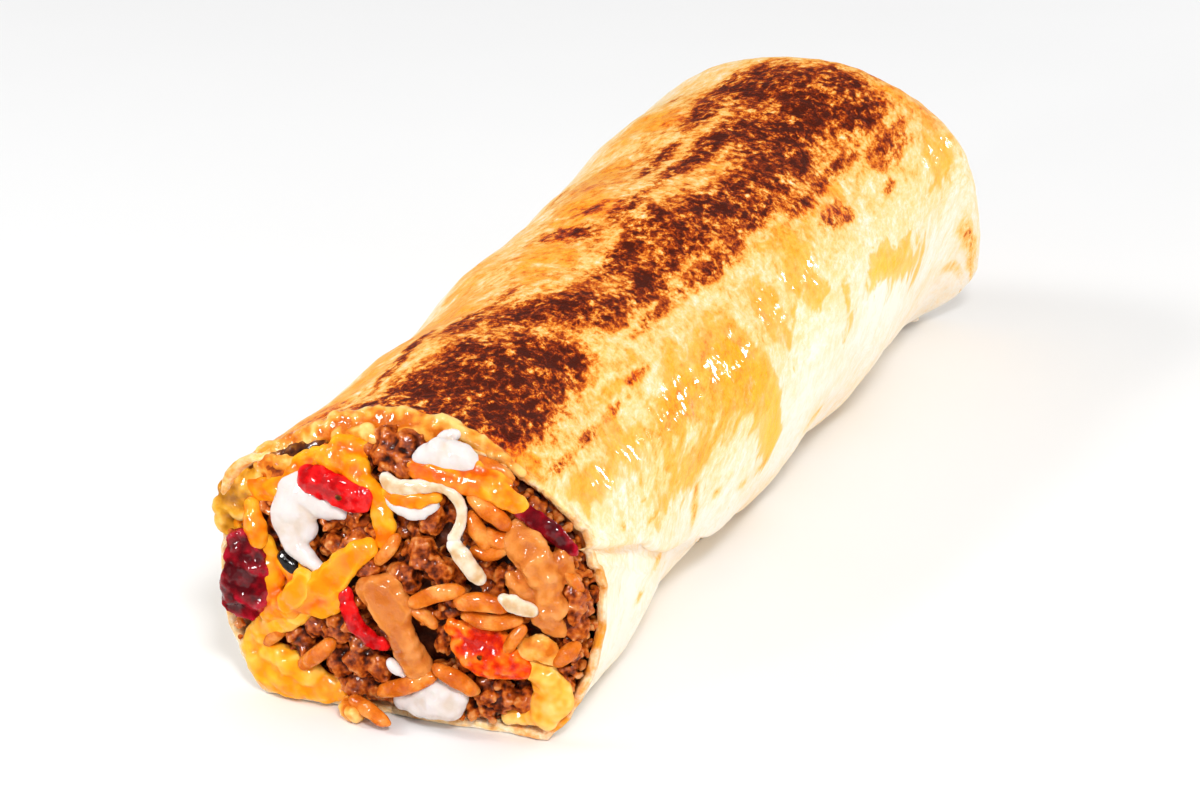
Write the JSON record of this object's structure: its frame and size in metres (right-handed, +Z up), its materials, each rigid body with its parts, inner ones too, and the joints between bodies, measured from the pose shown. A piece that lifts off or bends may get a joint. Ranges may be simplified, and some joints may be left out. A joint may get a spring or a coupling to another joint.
{
  "type": "burrito",
  "caption": "Grilled flour-tortilla burrito lying on its flat underside, one end folded shut, the other open on beef, rice, cheese, cream and sauce.",
  "frame": {"origin": "on the table under the middle of the burrito's box", "axes": "+Z up; +Y along the roll from the open end to the folded end, so the open end faces -Y; +X to the right as seen from in front of the open end"},
  "size_m": [0.0597, 0.1858, 0.0487],
  "materials": {
    "tortilla": "soft wheat flatbread, toasted, with charred blisters and oily melted-cheese smears",
    "beef": "moist browned minced beef with spiced rice grains",
    "cheddar": "melted cheddar, glossy",
    "pale_cheese": "melted white cheese, glossy",
    "cream": "sour cream, smooth and wet",
    "sauce": "creamy tan sauce",
    "red_strip": "red pepper strip, wet",
    "dark_strip": "crisp burgundy tortilla strip, blistered",
    "tomato": "chunk of stewed tomato, wet",
    "rice": "cooked spiced rice"
  },
  "bodies": {
    "root": {"tortilla": "tortilla", "filling": "beef", "red_strip_top": "red_strip", "red_strip_middle": "red_strip", "dark_strip_left": "dark_strip", "dark_strip_right": "dark_strip", "sauce_left": "sauce", "sauce_right": "sauce", "tomato_chunk": "tomato", "cheese_strand": "pale_cheese", "cheese_shred": "cheddar", "cheese_left": "cheddar", "cheese_bottom_left": "cheddar", "cheese_bottom_right": "cheddar", "cheese_top": "cheddar", "cheese_top_left": "cheddar", "sour_cream_left": "cream", "sour_cream_bottom": "cream", "sour_cream_top": "cream", "rice_loose": "rice"}
  },
  "joints": []
}
